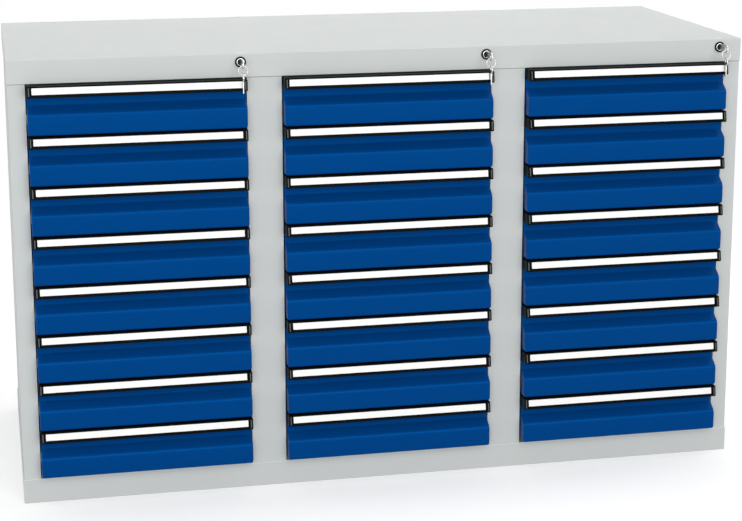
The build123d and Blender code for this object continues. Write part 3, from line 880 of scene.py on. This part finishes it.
def add_locks():
    mesh = bezel_shape().mesh("lock_bezel", [bezel_black, lock_chrome])
    for column in COLUMNS:
        node = "lock_housing_" + column
        low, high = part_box(node)
        place = Vector(((low.x + high.x) / 2, low.y + BEZEL_T, (low.z + high.z) / 2))
        piece = add_piece("lock_bezel_" + column, mesh, place, "carcase")
        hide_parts(node)


# Pieces that keep their CAD shape

def dress(node, material, ease=0):
    """New finish on a node, and slightly eased edges where asked for."""
    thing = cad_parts[node]
    thing.data.materials.clear()
    thing.data.materials.append(material)
    if ease:
        weld = thing.modifiers.new("weld", "WELD")
        weld.merge_threshold = WELD_REACH
        bevel = thing.modifiers.new("ease", "BEVEL")
        bevel.width = ease
        bevel.segments = EASE_STEPS
        bevel.limit_method = "ANGLE"
        bevel.angle_limit = EASE_ANGLE
        bevel.harden_normals = True


def dress_nodes():
    dress("top_cover", grey_paint)
    dress("base_plinth", plinth_paint)
    dress("bottom_panels", grey_paint, PANEL_EASE)
    for node in ("left_side_panel", "right_side_panel", "left_partition", "right_partition", "back_panel"):
        dress(node, wall_paint, PANEL_EASE)
    for node in ("bar_guides", "lock_nuts"):
        dress(node, zinc_steel, STEEL_EASE)
    for column in COLUMNS:
        dress("runners_" + column, zinc_steel, STEEL_EASE)
        dress("locking_bar_" + column, zinc_steel, STEEL_EASE)
        dress("lock_cam_" + column, zinc_steel, LOCK_EASE)
        dress("lock_plug_" + column, lock_dark, LOCK_EASE)
        dress("key_" + column, key_nickel, KEY_EASE)
        dress("spare_key_" + column, key_nickel, KEY_EASE)
        dress("key_ring_" + column, key_nickel)


# Stage, light and camera

def seen_rays(tree):
    """1 for rays from the camera, a reflection or a see-through surface, 0 for light."""
    path = tree.add("ShaderNodeLightPath").outputs
    pair = {0: path["Is Camera Ray"], 1: path["Is Glossy Ray"]}
    either = tree.add("ShaderNodeMath", pair, operation="MAXIMUM").outputs[0]
    pair = {0: either, 1: path["Is Transmission Ray"]}
    return tree.add("ShaderNodeMath", pair, operation="MAXIMUM").outputs[0]


def mix_shaders(tree, factor, first, second):
    return tree.add("ShaderNodeMixShader", {"Fac": factor, 1: first.outputs[0], 2: second.outputs[0]})


def pale_floor():
    """Pale grey for the light that it throws back, near white with a soft shadow where it is seen."""
    material = bpy.data.materials.new("pale_floor")
    material.use_nodes = True
    material.node_tree.nodes.clear()
    tree = Nodes(material.node_tree)
    thrown = tree.add("ShaderNodeBsdfDiffuse", {"Color": (*FLOOR_THROWN, 1)})
    shaded = tree.add("ShaderNodeBsdfDiffuse", {"Color": (*FLOOR_SEEN, 1)})
    glow = tree.add("ShaderNodeEmission", {"Color": (*WHITE, 1), "Strength": FLOOR_GLOW})
    near = tree.add("ShaderNodeAddShader", {0: shaded.outputs[0], 1: glow.outputs[0]})
    far = tree.add("ShaderNodeEmission", {"Color": (*WHITE, 1), "Strength": 1.0})
    where = tree.add("ShaderNodeTexCoord")
    reach = tree.add("ShaderNodeVectorMath", {0: where.outputs["Object"]}, operation="LENGTH")
    limits = {"Value": reach.outputs["Value"], "From Min": SHADOW_NEAR, "From Max": SHADOW_FAR}
    fade = tree.add("ShaderNodeMapRange", limits, interpolation_type="SMOOTHSTEP")
    seen = mix_shaders(tree, fade.outputs["Result"], near, far)
    whole = mix_shaders(tree, seen_rays(tree), thrown, seen)
    tree.add("ShaderNodeOutputMaterial", {"Surface": whole.outputs[0]})
    return material


def add_floor():
    half = FLOOR_SIZE / 2
    corners = [(-half, -half, 0), (half, -half, 0), (half, half, 0), (-half, half, 0)]
    data = bpy.data.meshes.new("floor")
    data.from_pydata(corners, [], [(0, 1, 2, 3)])
    data.materials.append(pale_floor())
    floor = bpy.data.objects.new("floor", data)
    floor.location.z = -FLOOR_DROP
    bpy.context.scene.collection.objects.link(floor)


def add_world():
    """Even light from all round, and plain white where the surround is seen."""
    world = bpy.data.worlds.new("studio")
    bpy.context.scene.world = world
    world.use_nodes = True
    world.node_tree.nodes.clear()
    tree = Nodes(world.node_tree)
    light = tree.add("ShaderNodeBackground", {"Color": (*WHITE, 1), "Strength": AMBIENT})
    white = tree.add("ShaderNodeBackground", {"Color": (*WHITE, 1), "Strength": 1.0})
    whole = mix_shaders(tree, seen_rays(tree), light, white)
    tree.add("ShaderNodeOutputWorld", {"Surface": whole.outputs[0]})


def add_lamp(name, place, aim, level, size):
    """Soft box that gives the level at the point it is aimed at."""
    reach = Vector(aim) - Vector(place)
    data = bpy.data.lights.new(name, "AREA")
    data.shape = "RECTANGLE"
    data.size, data.size_y = size
    data.energy = level * (math.pi * reach.length) ** 2
    lamp = bpy.data.objects.new(name, data)
    lamp.location = place
    lamp.rotation_euler = reach.to_track_quat("-Z", "Y").to_euler()
    bpy.context.scene.collection.objects.link(lamp)


def add_camera():
    data = bpy.data.cameras.new("camera")
    data.sensor_width = SENSOR_W
    data.lens = FOCAL_PX / IMAGE_W * SENSOR_W
    data.shift_x = (IMAGE_W / 2 - CENTRE_PX[0]) / IMAGE_W
    data.shift_y = (CENTRE_PX[1] - IMAGE_H / 2) / IMAGE_W
    camera = bpy.data.objects.new("camera", data)
    camera.location = CAMERA_PLACE
    camera.rotation_euler = (math.pi / 2 + CAMERA_TILT, CAMERA_ROLL, CAMERA_TURN)
    bpy.context.scene.collection.objects.link(camera)
    bpy.context.scene.camera = camera


dress_nodes()
add_drawers()
add_locks()
add_floor()
add_world()
for lamp in LAMPS:
    add_lamp(*lamp)
add_camera()
bpy.context.scene.view_settings.view_transform = "Standard"
